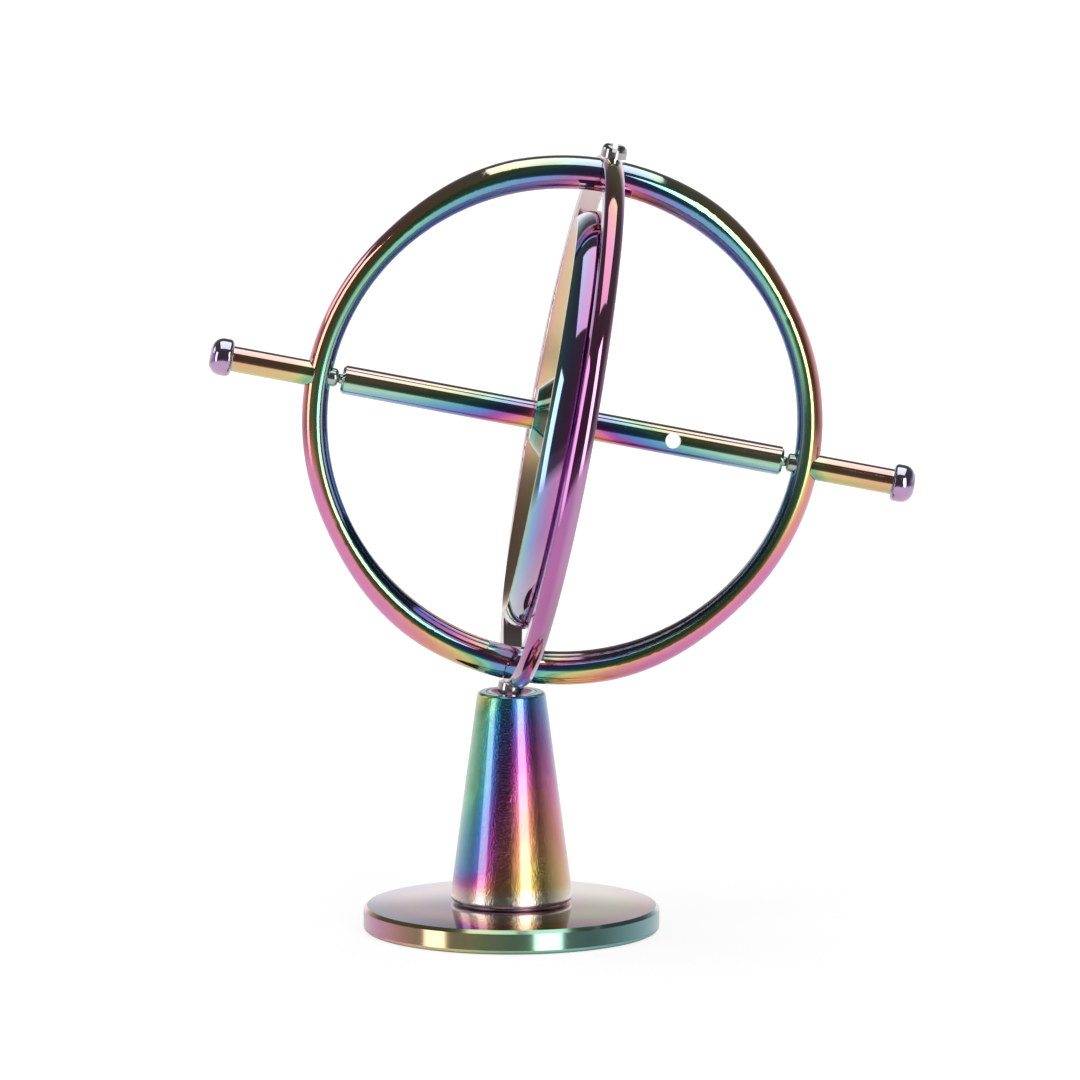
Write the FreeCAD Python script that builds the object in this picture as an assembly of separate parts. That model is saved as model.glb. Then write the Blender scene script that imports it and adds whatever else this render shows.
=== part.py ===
import FreeCAD, Part
import math
import os

# Toy gyroscope standing on a small turned pedestal.
# Millimetres and degrees, +Z up. The origin is the centre of the base's underside, on the
# pedestal's axis. The gyroscope leans towards +X, and its axle lies in the XZ plane.

# ---------------------------------------------------------------- stand
base_radius = 17.2
base_edge_height = 2.85
base_crown = 0.55
base_top_chamfer = 0.4
base_foot_round = 0.5
neck_height = 0.15
neck_foot_radius = 6.0
neck_top_radius = 6.05
stand_height = 28.05
cone_foot_radius = 7.15
cone_top_radius = 3.95
cone_foot_round = 0.5
cone_top_round = 0.45
base_screw_radius = 1.5
base_screw_head_radius = 3.0
base_screw_sink = 0.1
base_screw_thread = 7.5
base_screw_tip_gap = 0.5
base_screw_recess_width = 0.7
base_screw_recess_depth = 0.9
base_screw_recess_length = 3.2
cup_radius = 2.9
cup_height = 2.45
cup_dish_radius = 2.5
cup_dish_depth = 0.8
cup_edge_round = 0.12

# ---------------------------------------------------------------- gyroscope frame
lean = 10.8
lean_limit = 20.0
meridian_thickness = 3.0
swell_end_angle = 20.0
swell_start_angle = 56.0
swell_sections = 7
notch_floor_thickness = 1.75
equator_thickness = 2.6
equator_stand_out = 0.4
equator_width = 2.35
equator_crown = 0.55
equator_edge_round = 0.3
equator_skew = 3.0
crossing_screw_radius = 0.8
crossing_screw_thread = 1.4
crossing_head_radius = 1.5
crossing_head_height = 1.55
crossing_head_round = 0.75
crossing_seat_sink = 0.1
crossing_slot_width = 0.6
crossing_slot_depth = 0.75
post_radius = 1.5
post_seat_thickness = 2.15
post_length = 9.6
button_radius = 2.2
button_length = 2.6
button_inner_round = 0.55
button_tip_round = 1.45
spigot_radius = 1.1
spigot_length = 1.2
bearing_stand_in = 0.75
bearing_nose_round = 0.45
bearing_seat_depth = 0.9
bearing_seat_radius = 0.62

# ---------------------------------------------------------------- rotor
axle_radius = 1.7
axle_end_taper = 0.3
axle_end_radius = 1.4
string_hole_radius = 0.9
string_hole_offset = 13.05
string_hole_tilt = 10.0
point_radius = 0.6
point_socket_depth = 5.0
point_stand_out = 0.25
point_tip_radius = 0.05
flywheel_radius = 24.7
flywheel_width = 5.4
flywheel_rim_depth = 3.1
flywheel_crown = 1.2
flywheel_edge_round = 0.25
flywheel_lip_width = 0.45
flywheel_lip_round = 0.12
web_thickness = 1.6
hub_radius = 5.2
hub_nose_radius = 3.1
hub_shoulder = 0.6
hub_half_length = 3.4
hub_round = 0.3

# ---------------------------------------------------------------- clearances
flywheel_running_gap = 2.55
axle_end_gap = 0.45
cup_running_gap = 0.05
cup_floor_gap = 0.05
foot_gap = 0.06
notch_side_gap = 0.05
screw_hole_gap = 0.1
spot_face_gap = 0.05
point_end_gap = 0.1

# ---------------------------------------------------------------- derived places
base_edge_radius = base_radius - base_top_chamfer
dome_radius = (base_edge_radius ** 2 + base_crown ** 2) / (2 * base_crown)
dome_centre_z = base_edge_height + base_crown - dome_radius
neck_foot_z = dome_centre_z + math.sqrt(dome_radius ** 2 - neck_foot_radius ** 2)
cone_foot_z = neck_foot_z + neck_height
cone_top_z = stand_height
cup_floor_z = cone_top_z - cup_height - cup_floor_gap
base_screw_hole_radius = base_screw_radius + screw_hole_gap
base_screw_tip_z = cone_foot_z + base_screw_thread

flywheel_bore_radius = flywheel_radius - flywheel_rim_depth
flywheel_lip_radius = flywheel_radius - flywheel_crown - flywheel_lip_width
meridian_inner_radius = flywheel_radius + flywheel_running_gap
equator_inner_radius = meridian_inner_radius + notch_floor_thickness
equator_outer_radius = equator_inner_radius + equator_thickness
meridian_crossing_thickness = notch_floor_thickness + equator_thickness - equator_stand_out
post_seat_radius = meridian_inner_radius + post_seat_thickness
bearing_nose_radius = meridian_inner_radius - bearing_stand_in
bearing_back_radius = post_seat_radius - spigot_length
bearing_apex_radius = bearing_nose_radius + bearing_seat_depth
axle_half_length = bearing_nose_radius - axle_end_gap
point_tip_reach = bearing_apex_radius - point_end_gap

crossing_seat_radius = equator_outer_radius - crossing_seat_sink
foot_reach = (
    (crossing_head_radius - crossing_head_round) * math.sin(math.radians(lean_limit))
    + (crossing_head_height - crossing_head_round) * math.cos(math.radians(lean_limit))
    + crossing_head_round
)
foot_pivot_z = cone_top_z - cup_dish_depth + foot_gap + foot_reach
gyro_centre = FreeCAD.Vector(
    crossing_seat_radius * math.sin(math.radians(lean)),
    0.0,
    foot_pivot_z + crossing_seat_radius * math.cos(math.radians(lean)),
)

origin = FreeCAD.Vector(0, 0, 0)
x_axis = FreeCAD.Vector(1, 0, 0)
y_axis = FreeCAD.Vector(0, 1, 0)
z_axis = FreeCAD.Vector(0, 0, 1)


# ---------------------------------------------------------------- shape helpers
def rounded_wire(corners):
    """Closed wire through corners (x, y) or (x, y, radius); a radius rounds its corner."""
    points = [FreeCAD.Vector(corner[0], corner[1], 0) for corner in corners]
    arcs = []
    for index, corner in enumerate(corners):
        point = points[index]
        if len(corner) < 3:
            arcs.append((point, None, point))
            continue
        radius = corner[2]
        back = (points[index - 1] - point).normalize()
        ahead = (points[(index + 1) % len(points)] - point).normalize()
        half_angle = back.getAngle(ahead) / 2
        setback = radius / math.tan(half_angle)
        bisector = (back + ahead).normalize()
        middle = point + bisector * (radius / math.sin(half_angle) - radius)
        arcs.append((point + back * setback, middle, point + ahead * setback))
    edges = []
    for index, (start, middle, end) in enumerate(arcs):
        if middle is not None:
            edges.append(Part.Arc(start, middle, end).toShape())
        next_start = arcs[(index + 1) % len(arcs)][0]
        if end.distanceToPoint(next_start) > 1e-6:
            edges.append(Part.LineSegment(end, next_start).toShape())
    return Part.Wire(edges)


def turned(corners):
    """Solid turned about the X axis from corners (place along X, radius, optional rounding)."""
    solid = Part.Face(rounded_wire(corners)).revolve(origin, x_axis, 360)
    if solid.Volume < 0:
        solid.reverse()
    return solid


def upright(shape):
    """Stand a piece turned about X up along Z."""
    shape.rotate(origin, y_axis, -90)
    return shape


def opposite(shape):
    """Copy of a gyroscope piece turned half a turn about the Y axis."""
    copy = shape.copy()
    copy.rotate(origin, y_axis, 180)
    return copy


def rod_along_z(radius, low, high):
    """Cylinder about the Z axis between two heights."""
    return Part.makeCylinder(radius, high - low, FreeCAD.Vector(0, 0, low), z_axis)


def rod_along_x(radius, low, high):
    """Cylinder about the X axis between two places along it."""
    return Part.makeCylinder(radius, high - low, FreeCAD.Vector(low, 0, 0), x_axis)


def bar_along_y(width, length, low, high):
    """Box across the Z axis, long in Y, between two heights."""
    corner = FreeCAD.Vector(-width / 2, -length / 2, low)
    return Part.makeBox(width, length, high - low, corner)


def crowned_ring(width, inner_radius, outer_radius, crown):
    """Ring about the X axis whose outer face swells by the crown in the middle."""
    half = width / 2
    edge_radius = outer_radius - crown
    inner_left = FreeCAD.Vector(-half, inner_radius, 0)
    inner_right = FreeCAD.Vector(half, inner_radius, 0)
    outer_right = FreeCAD.Vector(half, edge_radius, 0)
    outer_left = FreeCAD.Vector(-half, edge_radius, 0)
    top = FreeCAD.Vector(0, outer_radius, 0)
    edges = [
        Part.LineSegment(inner_left, inner_right).toShape(),
        Part.LineSegment(inner_right, outer_right).toShape(),
        Part.Arc(outer_right, top, outer_left).toShape(),
        Part.LineSegment(outer_left, inner_left).toShape(),
    ]
    ring = Part.Face(Part.Wire(edges)).revolve(origin, x_axis, 360)
    if ring.Volume < 0:
        ring.reverse()
    return ring


def round_ring_edges(ring, radius, at_radius):
    """Round the two circular edges of a ring about X that have the stated radius."""
    edges = [edge for edge in ring.Edges
             if isinstance(edge.Curve, Part.Circle)
             and abs(edge.Curve.Radius - at_radius) < 1e-3]
    return ring.makeFillet(radius, edges)


# ---------------------------------------------------------------- stand pieces
def base_disc():
    """Turned foot with a slightly domed top and a flat land in the middle for the neck.

    It is countersunk from below for the screw that holds the pedestal.
    """
    countersink_depth = base_screw_head_radius - base_screw_hole_radius
    chamfer_foot_z = base_edge_height - base_top_chamfer
    blank = upright(turned([
        (0, base_screw_head_radius),
        (0, base_radius, base_foot_round),
        (chamfer_foot_z, base_radius),
        (neck_foot_z, base_radius - (neck_foot_z - chamfer_foot_z)),
        (neck_foot_z, base_screw_hole_radius),
        (countersink_depth, base_screw_hole_radius),
    ]))
    return blank.common(Part.makeSphere(dome_radius, FreeCAD.Vector(0, 0, dome_centre_z)))


def neck_collar():
    """Thin polished collar that widens upwards between the base and the pedestal."""
    return upright(turned([
        (neck_foot_z, base_screw_hole_radius),
        (neck_foot_z, neck_foot_radius),
        (cone_foot_z, neck_top_radius),
        (cone_foot_z, base_screw_hole_radius),
    ]))


def pedestal_cone():
    """Tapered pedestal, tapped from below and bored at the top for the pivot cup."""
    return upright(turned([
        (cone_foot_z, base_screw_radius),
        (cone_foot_z, cone_foot_radius, cone_foot_round),
        (cone_top_z, cone_top_radius, cone_top_round),
        (cone_top_z, cup_radius + cup_running_gap),
        (cup_floor_z, cup_radius + cup_running_gap),
        (cup_floor_z, 0),
        (base_screw_tip_z + base_screw_tip_gap, 0),
        (base_screw_tip_z + base_screw_tip_gap, base_screw_radius),
    ]))


def base_screw():
    """Countersunk screw with a cross recess, sunk just below the base's underside."""
    head_face_radius = base_screw_head_radius - base_screw_sink
    head_root_z = base_screw_head_radius - base_screw_radius
    screw = upright(turned([
        (base_screw_sink, 0),
        (base_screw_sink, head_face_radius),
        (head_root_z, base_screw_radius),
        (base_screw_tip_z, base_screw_radius, base_screw_radius / 4),
        (base_screw_tip_z, 0),
    ]))
    recess_top = base_screw_sink + base_screw_recess_depth
    for turn in (0, 90):
        recess = bar_along_y(base_screw_recess_width, base_screw_recess_length, 0, recess_top)
        recess.rotate(origin, z_axis, turn)
        screw = screw.cut(recess)
    return screw


def pivot_cup():
    """Loose cup in the pedestal's top bore; its dish carries the gyroscope's foot."""
    foot_z = cup_floor_z + cup_floor_gap
    blank = upright(turned([
        (foot_z, 0),
        (foot_z, cup_radius, cup_edge_round),
        (cone_top_z, cup_radius, cup_edge_round),
        (cone_top_z, 0),
    ]))
    dish_sphere = (cup_dish_radius ** 2 + cup_dish_depth ** 2) / (2 * cup_dish_depth)
    dish_centre = FreeCAD.Vector(0, 0, cone_top_z - cup_dish_depth + dish_sphere)
    return blank.cut(Part.makeSphere(dish_sphere, dish_centre))


# ---------------------------------------------------------------- gyroscope frame pieces
# These are made about the gyroscope's own centre, with X along the axle and Z through the
# two crossings of the rings, and are then leaned and moved to their place.
def meridian_section(thickness):
    """Round section of the axle's ring, standing at the crossing on +Z."""
    centre = FreeCAD.Vector(0, 0, meridian_inner_radius + thickness / 2)
    return Part.Wire(Part.makeCircle(thickness / 2, centre, x_axis))


def meridian_arc(thickness, start, end):
    """Stretch of the axle's ring with one thickness, between two angles from +Z."""
    section = Part.Face(meridian_section(thickness))
    section.rotate(origin, y_axis, start)
    return section.revolve(origin, y_axis, end - start)


def meridian_swell():
    """Stretch where the ring thickens smoothly towards the crossing on +Z."""
    sections = []
    for index in range(swell_sections):
        share = index / (swell_sections - 1)
        eased = share * share * (3 - 2 * share)
        extra = (meridian_crossing_thickness - meridian_thickness) * (1 - eased)
        section = meridian_section(meridian_thickness + extra)
        angle = swell_end_angle + share * (swell_start_angle - swell_end_angle)
        section.rotate(origin, y_axis, angle)
        sections.append(section)
    return Part.makeLoft(sections, True, False)


def equator_blank(side_gap, height_gap):
    """Equator ring's turned form, set slightly askew; gaps make it the notch's cutter."""
    ring = crowned_ring(equator_width + 2 * side_gap, equator_inner_radius,
                        equator_outer_radius + height_gap, equator_crown)
    if side_gap == 0:
        ring = round_ring_edges(ring, equator_edge_round, equator_outer_radius - equator_crown)
        ring = round_ring_edges(ring, equator_edge_round, equator_inner_radius)
    ring.rotate(origin, z_axis, equator_skew)
    return ring


def meridian_ring():
    """Round ring that carries the axle, notched for the equator ring and bored for the posts."""
    crossing = meridian_arc(meridian_crossing_thickness, -swell_end_angle, swell_end_angle)
    side = meridian_arc(meridian_thickness, swell_start_angle, 180 - swell_start_angle)
    swell = meridian_swell()
    mirrored_swell = swell.mirror(origin, x_axis)
    pieces = [side, opposite(side), opposite(crossing)]
    pieces += [swell, opposite(swell), mirrored_swell, opposite(mirrored_swell)]
    ring = crossing.multiFuse(pieces).removeSplitter()
    outside = equator_outer_radius + meridian_crossing_thickness
    ring = ring.cut(equator_blank(notch_side_gap, meridian_crossing_thickness))
    ring = ring.cut(rod_along_x(spigot_radius, -outside, outside))
    spot_face = rod_along_x(post_radius + spot_face_gap, post_seat_radius, outside)
    ring = ring.cut(spot_face).cut(opposite(spot_face))
    thread = rod_along_z(crossing_screw_radius, equator_inner_radius - crossing_screw_thread, outside)
    return ring.cut(thread).cut(opposite(thread))


def equator_ring():
    """Flat ring round the flywheel's edge, screwed into the axle ring's two notches."""
    ring = equator_blank(0, 0)
    outside = equator_outer_radius + meridian_crossing_thickness
    hole = rod_along_z(crossing_screw_radius + screw_hole_gap, 0, outside)
    seat = rod_along_z(crossing_head_radius + spot_face_gap, crossing_seat_radius, outside)
    for cutter in (hole, seat):
        ring = ring.cut(cutter).cut(opposite(cutter))
    return ring


def crossing_screw():
    """Slotted round-head screw in the upper crossing; the lower one's head is the foot."""
    thread_end = equator_inner_radius - crossing_screw_thread - crossing_seat_radius
    screw = upright(turned([
        (thread_end, 0),
        (thread_end, crossing_screw_radius, crossing_screw_radius / 4),
        (0, crossing_screw_radius),
        (0, crossing_head_radius),
        (crossing_head_height, crossing_head_radius, crossing_head_round),
        (crossing_head_height, 0),
    ]))
    slot_floor = crossing_head_height - crossing_slot_depth
    slot_top = 2 * crossing_head_height
    slot = bar_along_y(crossing_slot_width, 3 * crossing_head_radius, slot_floor, slot_top)
    screw = screw.cut(slot)
    screw.translate(z_axis * crossing_seat_radius)
    return screw


def post():
    """Outer pivot post with its button end, on the +X side."""
    button_start = post_seat_radius + post_length
    button_end = button_start + button_length
    return turned([
        (bearing_back_radius, 0),
        (bearing_back_radius, spigot_radius),
        (post_seat_radius, spigot_radius),
        (post_seat_radius, post_radius),
        (button_start, post_radius),
        (button_start, button_radius, button_inner_round),
        (button_end, button_radius, button_tip_round),
        (button_end, 0),
    ])


def bearing_cup():
    """Small cup with a conical seat for the axle's point, pressed into the ring, +X side."""
    return turned([
        (bearing_nose_radius, bearing_seat_radius),
        (bearing_nose_radius, spigot_radius, bearing_nose_round),
        (bearing_back_radius, spigot_radius),
        (bearing_back_radius, 0),
        (bearing_apex_radius, 0),
    ])


# ---------------------------------------------------------------- rotor pieces
def axle_rod():
    """Ground rod with tapered ends, sockets for the points and a cross hole for the string."""
    taper_start = axle_half_length - axle_end_taper
    rod = turned([
        (-axle_half_length, 0),
        (-axle_half_length, axle_end_radius),
        (-taper_start, axle_radius),
        (taper_start, axle_radius),
        (axle_half_length, axle_end_radius),
        (axle_half_length, 0),
    ])
    socket = rod_along_x(point_radius, axle_half_length - point_socket_depth, axle_half_length)
    rod = rod.cut(socket).cut(opposite(socket))
    start = FreeCAD.Vector(string_hole_offset, -2 * axle_radius, 0)
    string_hole = Part.makeCylinder(string_hole_radius, 4 * axle_radius, start, y_axis)
    string_hole.rotate(origin, x_axis, -string_hole_tilt)
    return rod.cut(string_hole)


def pivot_point():
    """Hardened point pressed into the axle's +X end."""
    return turned([
        (axle_half_length - point_socket_depth, 0),
        (axle_half_length - point_socket_depth, point_radius),
        (axle_half_length + point_stand_out, point_radius),
        (point_tip_reach, point_tip_radius),
        (point_tip_reach, 0),
    ])


def flywheel_rim():
    """Heavy crowned rim whose inside flares out from the web to a narrow lip on each side."""
    half = flywheel_width / 2
    web_face = web_thickness / 2
    rim = crowned_ring(flywheel_width, flywheel_bore_radius, flywheel_radius, flywheel_crown)
    recess = turned([
        (web_face, 0),
        (web_face, flywheel_bore_radius),
        (half, flywheel_lip_radius),
        (flywheel_width, flywheel_lip_radius),
        (flywheel_width, 0),
    ])
    rim = rim.cut(recess).cut(opposite(recess))
    rim = round_ring_edges(rim, flywheel_edge_round, flywheel_radius - flywheel_crown)
    return round_ring_edges(rim, flywheel_lip_round, flywheel_lip_radius)


def flywheel_web():
    """Thin disc between the axle and the rim."""
    half = web_thickness / 2
    return turned([
        (-half, axle_radius),
        (-half, flywheel_bore_radius),
        (half, flywheel_bore_radius),
        (half, axle_radius),
    ])


def hub_collar():
    """Collar pressed on the axle against the web's +X face."""
    web_face = web_thickness / 2
    return turned([
        (web_face, axle_radius),
        (web_face, hub_radius),
        (web_face + hub_shoulder, hub_radius, hub_round),
        (hub_half_length, hub_nose_radius, hub_round),
        (hub_half_length, axle_radius),
    ])


def in_place(shape):
    """Lean a gyroscope piece about Y and move it to the gyroscope's centre."""
    placed = shape.copy()
    placed.rotate(origin, y_axis, lean)
    placed.translate(gyro_centre)
    return placed


# ---------------------------------------------------------------- all pieces
stand_pieces = {
    "base_disc": base_disc(),
    "neck_collar": neck_collar(),
    "pedestal_cone": pedestal_cone(),
    "base_screw": base_screw(),
    "pivot_cup": pivot_cup(),
}
upper_screw = crossing_screw()
gyro_pieces = {
    "meridian_ring": meridian_ring(),
    "equator_ring": equator_ring(),
    "crossing_screws": Part.makeCompound([upper_screw, opposite(upper_screw)]),
    "left_post": opposite(post()),
    "right_post": post(),
    "left_bearing_cup": opposite(bearing_cup()),
    "right_bearing_cup": bearing_cup(),
    "axle_rod": axle_rod(),
    "left_pivot_point": opposite(pivot_point()),
    "right_pivot_point": pivot_point(),
    "flywheel_rim": flywheel_rim(),
    "flywheel_web": flywheel_web(),
    "left_hub_collar": opposite(hub_collar()),
    "right_hub_collar": hub_collar(),
}

os.makedirs("parts", exist_ok=True)
for name, shape in stand_pieces.items():
    shape.exportStep("parts/" + name + ".step")
for name, shape in gyro_pieces.items():
    in_place(shape).exportStep("parts/" + name + ".step")
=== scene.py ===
import math

import bpy
from mathutils import Matrix, Vector

# A hand-spun gyroscope with a rainbow film on polished metal, leaning on its turned pedestal.
# Metres, +Z up, the origin under the middle of the base.

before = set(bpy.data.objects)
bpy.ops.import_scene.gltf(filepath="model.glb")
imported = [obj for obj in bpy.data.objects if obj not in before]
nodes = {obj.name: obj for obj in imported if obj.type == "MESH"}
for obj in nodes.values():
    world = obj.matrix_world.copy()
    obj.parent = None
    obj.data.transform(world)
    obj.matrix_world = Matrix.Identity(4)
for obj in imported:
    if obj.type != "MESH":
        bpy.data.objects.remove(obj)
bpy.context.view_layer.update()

# ---------------------------------------------------------------- directions and places
ORIGIN = Vector((0, 0, 0))
UP = Vector((0, 0, 1))
ACROSS = Vector((1, 0, 0))

# The gyroscope's own axes at rest, and the middle of its axle.
LEAN = math.radians(10.8)
AXLE = Vector((math.cos(LEAN), 0, -math.sin(LEAN)))
CROSSING = Vector((math.sin(LEAN), 0, math.cos(LEAN)))
DEPTH = Vector((0, 1, 0))
CENTRE = Vector((0.0059025, 0, 0.0600103))

AXLE_RING_RADIUS = 28.75  # mm, to the middle of the ring's section

# ---------------------------------------------------------------- the film's colours
# One turn of the interference order, from green through blue, violet and gold back to green.
# A phase of 1.3 is the colour at 0.3, one order on.
FILM = [
    (0.00, (0.12, 0.42, 0.15)),
    (0.07, (0.14, 0.61, 0.38)),
    (0.13, (0.05, 0.44, 0.44)),
    (0.20, (0.03, 0.32, 0.54)),
    (0.28, (0.05, 0.22, 0.63)),
    (0.36, (0.13, 0.15, 0.56)),
    (0.45, (0.29, 0.07, 0.44)),
    (0.53, (0.51, 0.07, 0.38)),
    (0.60, (0.74, 0.14, 0.40)),
    (0.66, (0.80, 0.20, 0.27)),
    (0.72, (0.80, 0.25, 0.16)),
    (0.79, (0.82, 0.39, 0.15)),
    (0.85, (0.76, 0.52, 0.13)),
    (0.90, (0.66, 0.60, 0.13)),
    (0.95, (0.33, 0.50, 0.13)),
    (1.00, (0.12, 0.42, 0.15)),
]
PALE = (0.93, 0.93, 0.90)
SILVER = (0.85, 0.90, 0.90)
PEACH = (0.88, 0.66, 0.58)
ROSE_GREY = (0.80, 0.68, 0.74)
DULL_PINK = (0.66, 0.50, 0.62)
DULL_PURPLE = (0.42, 0.28, 0.42)
MIRROR_GREY = (0.38, 0.36, 0.37)
DARK_PLUM = (0.22, 0.18, 0.22)
PAINTED_SHADE_BROWN = (0.14, 0.12, 0.11)


def grey(tone):
    """Opaque grey for a colour socket."""
    return (tone, tone, tone, 1)


def set_ramp(node, stops, kind):
    """Gives a colour ramp its (position, colour) stops."""
    elements = node.color_ramp.elements
    node.color_ramp.interpolation = kind
    while len(elements) < len(stops):
        elements.new(0.5)
    for element, (position, colour) in zip(elements, stops):
        element.position = position
        element.color = colour


class Graph:
    """Small helper that adds shader nodes to one material and joins them."""

    def __init__(self, name):
        self.material = bpy.data.materials.new(name)
        self.material.use_nodes = True
        self.tree = self.material.node_tree
        self.shader = self.tree.nodes["Principled BSDF"]
        self.coords = self.tree.nodes.new("ShaderNodeTexCoord")

    def link(self, source, target):
        """Sets a socket to a number or a colour, or joins another socket to it."""
        if isinstance(source, (int, float)):
            target.default_value = source
        elif isinstance(source, (tuple, Vector)):
            target.default_value = tuple(source)
        else:
            self.tree.links.new(source, target)

    def math(self, operation, a, b=None):
        node = self.tree.nodes.new("ShaderNodeMath")
        node.operation = operation
        self.link(a, node.inputs[0])
        if b is not None:
            self.link(b, node.inputs[1])
        return node.outputs[0]

    def dot(self, source, direction):
        node = self.tree.nodes.new("ShaderNodeVectorMath")
        node.operation = "DOT_PRODUCT"
        self.link(source, node.inputs[0])
        self.link(direction, node.inputs[1])
        return node.outputs["Value"]

    def place(self, direction, start=ORIGIN):
        """Distance in mm along a direction, from a point."""
        along = self.dot(self.coords.outputs["Object"], direction)
        offset = self.math("SUBTRACT", along, start.dot(direction))
        return self.math("MULTIPLY", offset, 1000.0)

    def radius(self, first, second, start=ORIGIN):
        """Distance in mm from the axis through a point that is square to both directions."""
        squares = []
        for direction in (first, second):
            along = self.place(direction, start)
            squares.append(self.math("MULTIPLY", along, along))
        return self.math("SQRT", self.math("ADD", *squares))

    def facing(self, direction):
        """How far the surface faces a direction, from -1 to 1."""
        return self.dot(self.coords.outputs["Normal"], direction)

    def outward(self, first, second):
        """How far the surface faces away from an axis through CENTRE, times the distance in mm."""
        return self.math(
            "ADD",
            self.math("MULTIPLY", self.facing(first), self.place(first, CENTRE)),
            self.math("MULTIPLY", self.facing(second), self.place(second, CENTRE)),
        )

    def total(self, *terms):
        """Sum of (weight, value) terms."""
        value = 0.0
        for weight, term in terms:
            value = self.math("ADD", self.math("MULTIPLY", term, weight), value)
        return value

    def noise(self, scale, detail=2.0):
        node = self.tree.nodes.new("ShaderNodeTexNoise")
        node.inputs["Scale"].default_value = scale
        node.inputs["Detail"].default_value = detail
        self.link(self.coords.outputs["Object"], node.inputs["Vector"])
        return node.outputs["Fac"]

    def spread(self, value, low, high, to_low, to_high):
        """Value taken from one range to another, and held at its ends."""
        node = self.tree.nodes.new("ShaderNodeMapRange")
        self.link(value, node.inputs["Value"])
        node.inputs["From Min"].default_value = low
        node.inputs["From Max"].default_value = high
        node.inputs["To Min"].default_value = to_low
        node.inputs["To Max"].default_value = to_high
        return node.outputs[0]

    def ramp(self, value, stops, kind="EASE"):
        node = self.tree.nodes.new("ShaderNodeValToRGB")
        set_ramp(node, [(position, (*colour, 1)) for position, colour in stops], kind)
        self.link(value, node.inputs[0])
        return node.outputs[0]

    def profile(self, value, points):
        """Number read off the straight runs between (value, number) points."""
        low, high = points[0][0], points[-1][0]
        bottom = min(number for _, number in points)
        top = max(number for _, number in points)
        stops = []
        for position, number in points:
            share = (number - bottom) / (top - bottom)
            stops.append(((position - low) / (high - low), (share, share, share)))
        share = self.ramp(self.spread(value, low, high, 0.0, 1.0), stops, "LINEAR")
        return self.spread(share, 0.0, 1.0, bottom, top)

    def mix(self, share, a, b):
        """Colour that goes from a to b as the share goes from 0 to 1."""
        node = self.tree.nodes.new("ShaderNodeMix")
        node.data_type = "RGBA"
        self.link(share, node.inputs["Factor"])
        self.link(a if not isinstance(a, tuple) else (*a, 1), node.inputs["A"])
        self.link(b if not isinstance(b, tuple) else (*b, 1), node.inputs["B"])
        return node.outputs["Result"]

    def blend(self, share, a, b):
        """Number that goes from a to b as the share goes from 0 to 1."""
        node = self.tree.nodes.new("ShaderNodeMix")
        node.data_type = "FLOAT"
        self.link(share, node.inputs["Factor"])
        self.link(a, node.inputs["A"])
        self.link(b, node.inputs["B"])
        return node.outputs["Result"]

    def mix_shader(self, share, a, b):
        """Shader that goes from a to b as the share goes from 0 to 1."""
        node = self.tree.nodes.new("ShaderNodeMixShader")
        for source, target in zip((share, a, b), node.inputs):
            self.link(source, target)
        return node.outputs[0]

    def film(self, phase, mottle=0.04, mottle_scale=110.0):
        """Film colour for a phase, with a soft mottle."""
        patchy = self.math("SUBTRACT", self.noise(mottle_scale), 0.5)
        phase = self.math("ADD", phase, self.math("MULTIPLY", patchy, mottle))
        return self.ramp(self.math("FRACT", phase), FILM)

    def paled_by_painted_highlight(self, colour, start, share):
        """Colour that pales towards white, up to a share, on surfaces that face up by more than the
        start: a painted highlight of the lamp overhead.
        """
        up = self.spread(self.facing(UP), start, 1.0, 0.0, share)
        return self.mix(up, colour, PALE)

    def polished(self, colour, rough_low=0.04, rough_high=0.09, coat=1.6):
        """Mirror-polished metal of that colour, with faint wear in its gloss."""
        self.link(colour, self.shader.inputs["Base Color"])
        self.shader.inputs["Metallic"].default_value = 1.0
        wear = self.spread(self.noise(420.0, 4.0), 0.3, 0.7, rough_low, rough_high)
        self.link(wear, self.shader.inputs["Roughness"])
        self.shader.inputs["Coat Weight"].default_value = 1.0
        self.shader.inputs["Coat IOR"].default_value = coat
        self.shader.inputs["Coat Roughness"].default_value = rough_low
        return self.material

    def grained(self, scale, strength, distance):
        """Fine blasted grain in the surface."""
        node = self.tree.nodes.new("ShaderNodeBump")
        node.inputs["Strength"].default_value = strength
        node.inputs["Distance"].default_value = distance
        self.link(self.noise(scale, 3.0), node.inputs["Height"])
        self.link(node.outputs[0], self.shader.inputs["Normal"])


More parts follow.
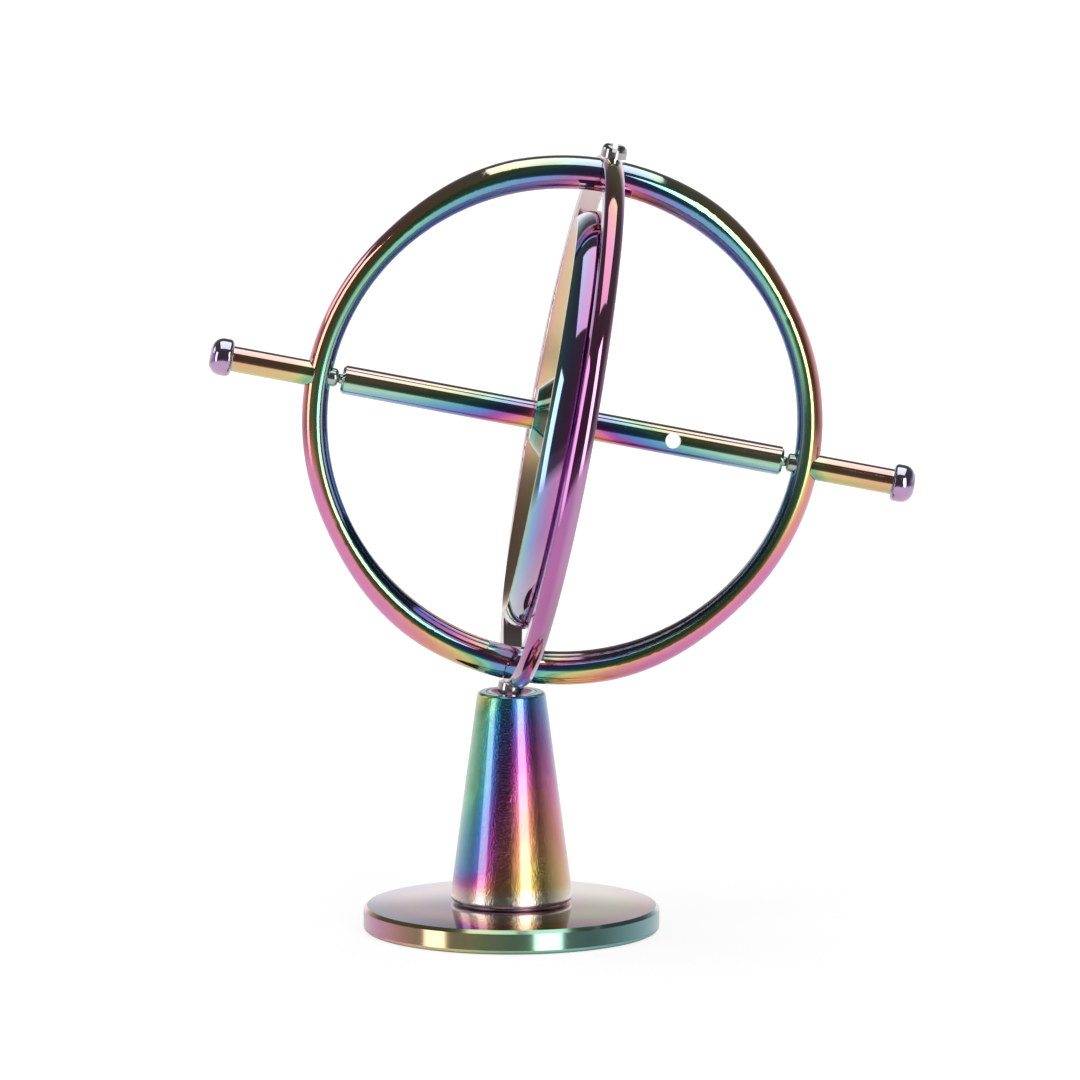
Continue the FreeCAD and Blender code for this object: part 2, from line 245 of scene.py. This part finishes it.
# ---------------------------------------------------------------- the pieces' metal
# Places are in mm and shares from 0 to 1. A profile's points are (place or facing, number).
def axle_ring_film():
    """Round ring: orange and gold outside, green in front, blue inside, violet at the crossings."""
    graph = Graph("axle_ring_film")
    across = graph.math("ABSOLUTE", graph.place(AXLE, CENTRE))
    height = graph.place(CROSSING, CENTRE)
    outward = graph.math("MULTIPLY", graph.outward(AXLE, CROSSING), 1 / AXLE_RING_RADIUS)
    near_foot = graph.profile(across, [
        (2.0, 0.62), (3.0, 0.48), (5.0, 0.33), (7.4, 0.22), (9.8, 0.15), (12.0, 0.07), (16.0, 0.0)])
    near_top = graph.profile(across, [
        (2.0, 0.55), (4.0, 0.45), (6.0, 0.33), (9.0, 0.24), (12.0, 0.18), (18.5, 0.10), (25.0, 0.0)])
    lower = graph.profile(outward, [
        (-1.0, 1.15), (-0.5, 1.12), (-0.35, 1.04), (-0.17, 0.94), (0.0, 0.80), (0.17, 0.64),
        (0.34, 0.60), (1.0, 0.57)])
    upper = graph.profile(outward, [
        (-1.0, 1.20), (-0.77, 1.14), (-0.5, 1.12), (-0.35, 1.08), (-0.17, 1.03), (0.0, 1.0),
        (0.17, 0.92), (0.34, 0.84), (0.5, 0.76), (0.64, 0.71), (0.77, 0.69), (1.0, 0.66)])
    inside = graph.spread(outward, -0.25, -0.70, 1.0, 2.2)
    near_foot = graph.math("MULTIPLY", near_foot, inside)
    high = graph.spread(height, -13.0, -4.0, 0.0, 1.0)
    phase = graph.math(
        "ADD", graph.blend(high, lower, upper), graph.blend(high, near_foot, near_top))
    colour = graph.mix(0.10, graph.film(phase), PALE)
    # Upward faces paled up to 0.85 towards white: a painted highlight of the lamp overhead.
    return graph.polished(graph.paled_by_painted_highlight(colour, 0.35, 0.85))


def equator_ring_film():
    """Flat ring: olive at the top, maroon in front and pink below; painted reflections pale its
    right side and turn its inside peach at the back.
    """
    graph = Graph("equator_ring_film")
    phase = graph.profile(graph.facing(CROSSING), [
        (-1.0, 0.64), (-0.8, 0.57), (-0.5, 0.53), (0.0, 0.50), (0.35, 0.56), (0.77, 0.60),
        (0.87, 0.74), (0.94, 0.88), (1.0, 0.92)])
    inside = graph.spread(graph.outward(DEPTH, CROSSING), 3.0, -3.0, 0.0, 1.0)
    phase = graph.blend(inside, phase, 0.42)
    # Faces turned right are paled towards dull pink: a painted reflection of the right-hand light.
    side = graph.profile(graph.facing(AXLE), [(0.0, 0.0), (0.35, 0.35), (1.0, 0.45)])
    muted = graph.mix(0.25, graph.film(phase), DULL_PURPLE)
    # Upward faces are paled a little: a painted highlight.
    colour = graph.paled_by_painted_highlight(graph.mix(side, muted, DULL_PINK), 0.35, 0.15)
    # The inside of the far half is turned peach: a painted reflection of the bright backdrop.
    behind = graph.spread(graph.place(DEPTH), 2.0, 8.0, 0.0, 0.75)
    painted_far_reflection = graph.math("MULTIPLY", inside, behind)
    return graph.polished(graph.mix(painted_far_reflection, colour, PEACH))


def rim_film():
    """Flywheel rim: gold edge, then green, blue, violet and pink across its face, gold flare; a
    painted floor reflection greys its underside.
    """
    graph = Graph("rim_film")
    face = graph.profile(graph.facing(AXLE), [
        (-1.0, 0.84), (-0.76, 0.98), (-0.70, 1.10), (-0.60, 1.20), (-0.44, 1.34), (-0.27, 1.44),
        (-0.11, 1.50), (0.05, 1.52), (0.22, 1.49), (0.55, 1.50), (0.7, 1.54), (1.0, 1.62)])
    depth = graph.math("ABSOLUTE", graph.place(AXLE, CENTRE))
    flare = graph.profile(depth, [(0.8, 0.86), (1.6, 0.83), (2.3, 0.80), (2.7, 0.72)])
    outside = graph.spread(graph.outward(DEPTH, CROSSING), -3.0, 3.0, 0.0, 1.0)
    phase = graph.blend(outside, flare, face)
    # Outer faces that turn down are greyed towards rose: a painted reflection of the pale floor.
    below = graph.profile(graph.facing(CROSSING), [
        (-1.0, 0.55), (-0.7, 0.50), (-0.4, 0.0), (1.0, 0.0)])
    share = graph.math("MULTIPLY", below, outside)
    # Paler all over by a share, and more on faces turned left, where it is a painted highlight of
    # the left-hand light.
    pale = graph.profile(graph.facing(AXLE), [(-1.0, 0.34), (-0.1, 0.14), (1.0, 0.14)])
    colour = graph.mix(share, graph.mix(pale, graph.film(phase), PALE), ROSE_GREY)
    # Upward faces are paled a little: a painted highlight.
    graph.polished(graph.paled_by_painted_highlight(colour, 0.35, 0.12))
    graph.link(graph.blend(outside, 0.26, 0.06), graph.shader.inputs["Roughness"])
    return graph.material


def web_film():
    """Flywheel web: colours in rings about the axle."""
    graph = Graph("web_film")
    radius = graph.radius(DEPTH, CROSSING, CENTRE)
    phase = graph.profile(radius, [(3.0, 1.10), (8.0, 1.35), (14.0, 1.60), (21.6, 1.85)])
    return graph.polished(graph.film(phase, 0.06))


def hub_film():
    """Hub collars: dark shoulder, green and teal nose."""
    graph = Graph("hub_film")
    along = graph.math("ABSOLUTE", graph.place(AXLE, CENTRE))
    phase = graph.profile(along, [(0.8, 0.74), (1.3, 0.78), (1.8, 0.90), (2.8, 1.02), (3.4, 1.14)])
    shoulder = graph.profile(along, [(1.0, 0.8), (2.2, 0.75), (3.4, 0.1)])
    return graph.polished(graph.mix(shoulder, graph.film(phase), DARK_PLUM))


def axle_film():
    """Axle: mint at its ends, blue and violet towards the hub, red beside it."""
    graph = Graph("axle_film")
    along = graph.place(AXLE, CENTRE)
    middle = graph.profile(along, [
        (-26.0, 0.97), (-20.0, 1.01), (-16.0, 1.06), (-12.0, 1.14), (-9.5, 1.24), (-7.5, 1.40),
        (-5.5, 1.54), (-3.5, 1.74), (3.5, 1.62), (5.0, 1.50), (7.0, 1.33), (9.0, 1.25),
        (11.0, 1.15), (14.0, 1.06), (20.0, 1.00), (26.0, 0.97)])
    phase = graph.total((1.0, middle), (-0.30, graph.facing(CROSSING)))
    ends = graph.profile(graph.math("ABSOLUTE", along), [
        (8.0, 0.0), (14.0, 0.12), (20.0, 0.30), (26.0, 0.42)])
    colour = graph.mix(ends, graph.film(phase, 0.03), SILVER)
    # Upward faces are paled up to 0.60 towards white: a painted highlight of the lamp overhead.
    return graph.polished(graph.paled_by_painted_highlight(colour, 0.30, 0.60))


def post_film():
    """Posts: gold and orange shafts, green where they meet the ring, violet buttons."""
    graph = Graph("post_film")
    along = graph.math("ABSOLUTE", graph.place(AXLE, CENTRE))
    shaft = graph.profile(along, [
        (29.0, 1.05), (30.5, 0.92), (32.0, 0.82), (38.0, 0.77), (39.0, 0.77)])
    button = graph.spread(along, 38.8, 39.2, 0.0, 0.68)
    phase = graph.total((1.0, shaft), (1.0, button), (-0.09, graph.facing(CROSSING)))
    pale = graph.spread(along, 38.8, 39.2, 0.14, 0.32)
    colour = graph.mix(pale, graph.film(phase, 0.03), PALE)
    # Upward faces are paled up to 0.60 towards white: a painted highlight of the lamp overhead.
    return graph.polished(graph.paled_by_painted_highlight(colour, 0.30, 0.60))


def cone_film():
    """Pedestal: satin, green and teal on the left, purple to gold down the right; its pale foot is a
    painted reflection, with painted shade on the lip under it.
    """
    graph = Graph("cone_film")
    height = graph.place(UP)
    down = graph.profile(height, [
        (3.5, 0.87), (8.0, 0.84), (15.0, 0.70), (22.0, 0.50), (25.0, 0.40), (28.0, 0.25)])
    round_about = graph.profile(graph.facing(ACROSS), [
        (-1.0, -0.62), (-0.8, -0.60), (-0.65, -0.50), (-0.5, -0.38), (-0.38, -0.27),
        (-0.22, -0.17), (0.0, -0.06), (0.4, 0.0), (0.7, 0.0), (1.0, -0.10)])
    share = graph.profile(height, [(3.6, 0.05), (5.0, 0.35), (8.0, 1.0), (17.0, 1.0), (25.0, 0.6)])
    phase = graph.math("ADD", down, graph.math("MULTIPLY", round_about, share))
    # Paled towards white near the foot: a painted reflection of light on the rounded foot.
    foot = graph.profile(height, [(3.7, 0.72), (4.2, 0.66), (4.9, 0.40), (5.9, 0.0)])
    # The lip below that is darkened to brown: painted shade where it meets the base.
    under = graph.spread(height, 3.35, 3.60, 1.0, 0.0)
    colour = graph.mix(foot, graph.film(phase, 0.05, 900.0), PALE)
    graph.grained(5200.0, 0.40, 0.00014)
    return graph.polished(graph.mix(under, colour, PAINTED_SHADE_BROWN), 0.10, 0.15, 2.1)


def disc_film():
    """Base: pink, gold, green and teal round its wall; a pale mauve mirror on top."""
    graph = Graph("disc_film")
    wall = graph.profile(graph.facing(ACROSS), [
        (-1.0, 0.56), (-0.85, 0.64), (-0.7, 0.77), (-0.4, 0.87), (0.0, 1.0), (0.4, 1.10),
        (1.0, 1.16)])
    arcs = graph.profile(graph.radius(ACROSS, DEPTH), [
        (7.0, 0.66), (9.5, 0.78), (12.0, 0.90), (14.5, 0.74), (16.8, 0.58)])
    top = graph.math("ADD", arcs, graph.spread(graph.place(ACROSS), -9.0, 9.0, -0.24, 0.0))
    over = graph.spread(graph.facing(UP), 0.80, 0.95, 0.0, 1.0)
    pale_wall = graph.mix(0.18, graph.film(wall), PALE)
    pale_top = graph.mix(0.50, graph.film(top, 0.08, 60.0), MIRROR_GREY)
    graph.polished(graph.mix(over, pale_wall, pale_top), coat=2.1)
    for socket in ("Roughness", "Coat Roughness"):
        graph.link(graph.blend(over, 0.14, 0.04), graph.shader.inputs[socket])
    return graph.material


def steel(name, colour, roughness):
    """Plain metal of that colour, a little uneven in tone."""
    graph = Graph(name)
    tone = graph.mix(graph.noise(300.0, 3.0), tuple(0.85 * c for c in colour), colour)
    return graph.polished(tone, roughness, roughness + 0.08)


def dress(node, material):
    """Puts one material on the whole of a CAD node."""
    for slot in nodes[node].material_slots:
        slot.material = material


dress("meridian_ring", axle_ring_film())
dress("equator_ring", equator_ring_film())
dress("flywheel_rim", rim_film())
dress("flywheel_web", web_film())
dress("axle_rod", axle_film())
dress("pedestal_cone", cone_film())
dress("base_disc", disc_film())
hubs = hub_film()
posts = post_film()
point_steel = steel("point_steel", (0.50, 0.50, 0.52), 0.12)
seat_steel = steel("seat_steel", (0.46, 0.55, 0.50), 0.08)
for side in ("left_", "right_"):
    dress(side + "hub_collar", hubs)
    dress(side + "post", posts)
    dress(side + "pivot_point", point_steel)
    dress(side + "bearing_cup", seat_steel)
dress("crossing_screws", steel("slotted_steel", (0.58, 0.56, 0.57), 0.10))
dress("base_screw", steel("screw_steel", (0.62, 0.62, 0.61), 0.25))
dress("neck_collar", steel("neck_steel", (0.80, 0.80, 0.80), 0.35))
dress("pivot_cup", steel("cup_steel", (0.42, 0.36, 0.42), 0.08))

# ---------------------------------------------------------------- studio
FLOOR_HALF = 4.0  # m
AIM = Vector((0.005, 0, 0.045))
SOFTBOX_DISTANCE = 1.1  # m
# Name, azimuth and elevation in degrees as seen from AIM, width, height, radiance.
SOFTBOXES = [
    ("left_softbox", -63, 14, 0.36, 0.76, 2.3),
    ("left_rear_softbox", -108, 24, 0.46, 0.36, 1.3),
    ("right_softbox", 28, 15, 0.42, 1.00, 3.4),
]
# The room's back from the horizon up: height on the unit sphere, tone. It is white below.
BACK_TONES = [(0.0, 1.0), (0.12, 0.90), (0.22, 0.55), (0.32, 0.28), (0.45, 0.09), (1.0, 0.04)]
FRONT_TONE = 0.065
BACK_STARTS, BACK_FULL = -0.40, 0.85  # on the unit sphere, along +Y


def studio_floor():
    """Pale seamless table: a white glow with a soft shadow to the camera, and for everything
    else a matt pale floor that turns glossy at a low angle."""
    mesh = bpy.data.meshes.new("studio_floor")
    half = FLOOR_HALF
    corners = [(-half, -half, 0), (half, -half, 0), (half, half, 0), (-half, half, 0)]
    mesh.from_pydata(corners, [], [(0, 1, 2, 3)])
    floor = bpy.data.objects.new("studio_floor", mesh)
    bpy.context.scene.collection.objects.link(floor)

    graph = Graph("floor_white")
    add = graph.tree.nodes.new
    graph.tree.nodes.remove(graph.shader)
    matt = add("ShaderNodeBsdfDiffuse")
    matt.inputs["Color"].default_value = grey(0.80)
    gloss = add("ShaderNodeBsdfGlossy")
    gloss.inputs["Color"].default_value = grey(0.95)
    gloss.inputs["Roughness"].default_value = 0.12
    grazing = add("ShaderNodeLayerWeight")
    grazing.inputs["Blend"].default_value = 0.5
    sheen = graph.spread(grazing.outputs["Facing"], 0.67, 0.82, 0.0, 0.93)
    mirrored = graph.mix_shader(sheen, matt.outputs[0], gloss.outputs[0])

    shaded = add("ShaderNodeBsdfDiffuse")
    shaded.inputs["Color"].default_value = grey(0.22)
    distance = add("ShaderNodeVectorMath")
    distance.operation = "LENGTH"
    graph.link(graph.coords.outputs["Object"], distance.inputs[0])
    glow = add("ShaderNodeEmission")
    graph.link(
        graph.spread(distance.outputs["Value"], 0.05, 0.30, 0.79, 1.0), glow.inputs["Strength"])
    seen = add("ShaderNodeAddShader")
    graph.link(shaded.outputs[0], seen.inputs[0])
    graph.link(glow.outputs[0], seen.inputs[1])

    camera_ray = add("ShaderNodeLightPath").outputs["Is Camera Ray"]
    surface = graph.tree.nodes["Material Output"].inputs["Surface"]
    graph.link(graph.mix_shader(camera_ray, mirrored, seen.outputs[0]), surface)
    mesh.materials.append(graph.material)


def softbox(name, centre, target, width, height, radiance):
    """Flat soft light aimed at a point."""
    data = bpy.data.lights.new(name, "AREA")
    data.shape = "RECTANGLE"
    data.size = width
    data.size_y = height
    data.energy = radiance * math.pi * width * height
    lamp = bpy.data.objects.new(name, data)
    bpy.context.scene.collection.objects.link(lamp)
    lamp.location = centre
    lamp.rotation_euler = (target - centre).to_track_quat("-Z", "Y").to_euler()
    lamp.visible_camera = False
    return lamp


def around(azimuth, elevation, distance):
    """Point at an azimuth from the front (-Y) towards +X, and at an elevation."""
    a = math.radians(azimuth)
    e = math.radians(elevation)
    return Vector((math.sin(a) * math.cos(e), -math.cos(a) * math.cos(e), math.sin(e))) * distance


def studio_lights():
    """Soft boxes that the metal mirrors, and a wide lamp that lights only what is matt."""
    above = Vector((0.04, 0.02, 0.85))
    softbox("overhead_softbox", above, Vector((above.x, above.y, 0)), 0.72, 0.90, 1.25)
    for name, azimuth, elevation, width, height, radiance in SOFTBOXES:
        centre = AIM + around(azimuth, elevation, SOFTBOX_DISTANCE)
        softbox(name, centre, AIM, width, height, radiance)
    fill = softbox("floor_fill", Vector((0, 0, 1.6)), ORIGIN, 2.4, 2.4, 1.35)
    fill.visible_glossy = False


def studio_world():
    """White behind the object for the camera, a dim room with a pale back for all else."""
    world = bpy.data.worlds.new("studio")
    bpy.context.scene.world = world
    world.use_nodes = True
    add = world.node_tree.nodes.new
    join = world.node_tree.links.new
    coords = add("ShaderNodeTexCoord")
    split = add("ShaderNodeSeparateXYZ")
    join(coords.outputs["Generated"], split.inputs[0])
    height = add("ShaderNodeValToRGB")
    set_ramp(height, [(place, grey(tone)) for place, tone in BACK_TONES], "EASE")
    join(split.outputs["Z"], height.inputs[0])
    back = add("ShaderNodeMapRange")
    back.inputs["From Min"].default_value = BACK_STARTS
    back.inputs["From Max"].default_value = BACK_FULL
    join(split.outputs["Y"], back.inputs["Value"])
    room = add("ShaderNodeMix")
    room.data_type = "RGBA"
    room.inputs["A"].default_value = grey(FRONT_TONE)
    join(back.outputs[0], room.inputs["Factor"])
    join(height.outputs[0], room.inputs["B"])
    seen = add("ShaderNodeMix")
    seen.data_type = "RGBA"
    seen.inputs["B"].default_value = grey(1)
    join(add("ShaderNodeLightPath").outputs["Is Camera Ray"], seen.inputs["Factor"])
    join(room.outputs["Result"], seen.inputs["A"])
    background = world.node_tree.nodes["Background"]
    background.inputs["Strength"].default_value = 1.0
    join(seen.outputs["Result"], background.inputs["Color"])


studio_floor()
studio_world()
studio_lights()

# ---------------------------------------------------------------- camera
VIEW_AZIMUTH = math.radians(-0.5)
VIEW_ELEVATION = math.radians(9.9)
FRAME_WIDTH = 0.12560
FRAME_MIDDLE = (0.003315, 0.045205)  # along the picture's right and up, from the origin
CAMERA_DISTANCE = 6.0
SENSOR_WIDTH = 36.0

right = Vector((math.cos(VIEW_AZIMUTH), math.sin(VIEW_AZIMUTH), 0))
up = Vector((-math.sin(VIEW_AZIMUTH) * math.sin(VIEW_ELEVATION),
             math.cos(VIEW_AZIMUTH) * math.sin(VIEW_ELEVATION),
             math.cos(VIEW_ELEVATION)))
back = right.cross(up)
camera_data = bpy.data.cameras.new("camera")
camera_data.sensor_width = SENSOR_WIDTH
camera_data.lens = SENSOR_WIDTH * CAMERA_DISTANCE / FRAME_WIDTH
camera_data.clip_start = 0.05
camera_data.clip_end = 20.0
camera = bpy.data.objects.new("camera", camera_data)
bpy.context.scene.collection.objects.link(camera)
placed = Matrix((right, up, back)).transposed().to_4x4()
placed.translation = right * FRAME_MIDDLE[0] + up * FRAME_MIDDLE[1] + back * CAMERA_DISTANCE
camera.matrix_world = placed
bpy.context.scene.camera = camera
bpy.context.scene.view_settings.view_transform = "Standard"
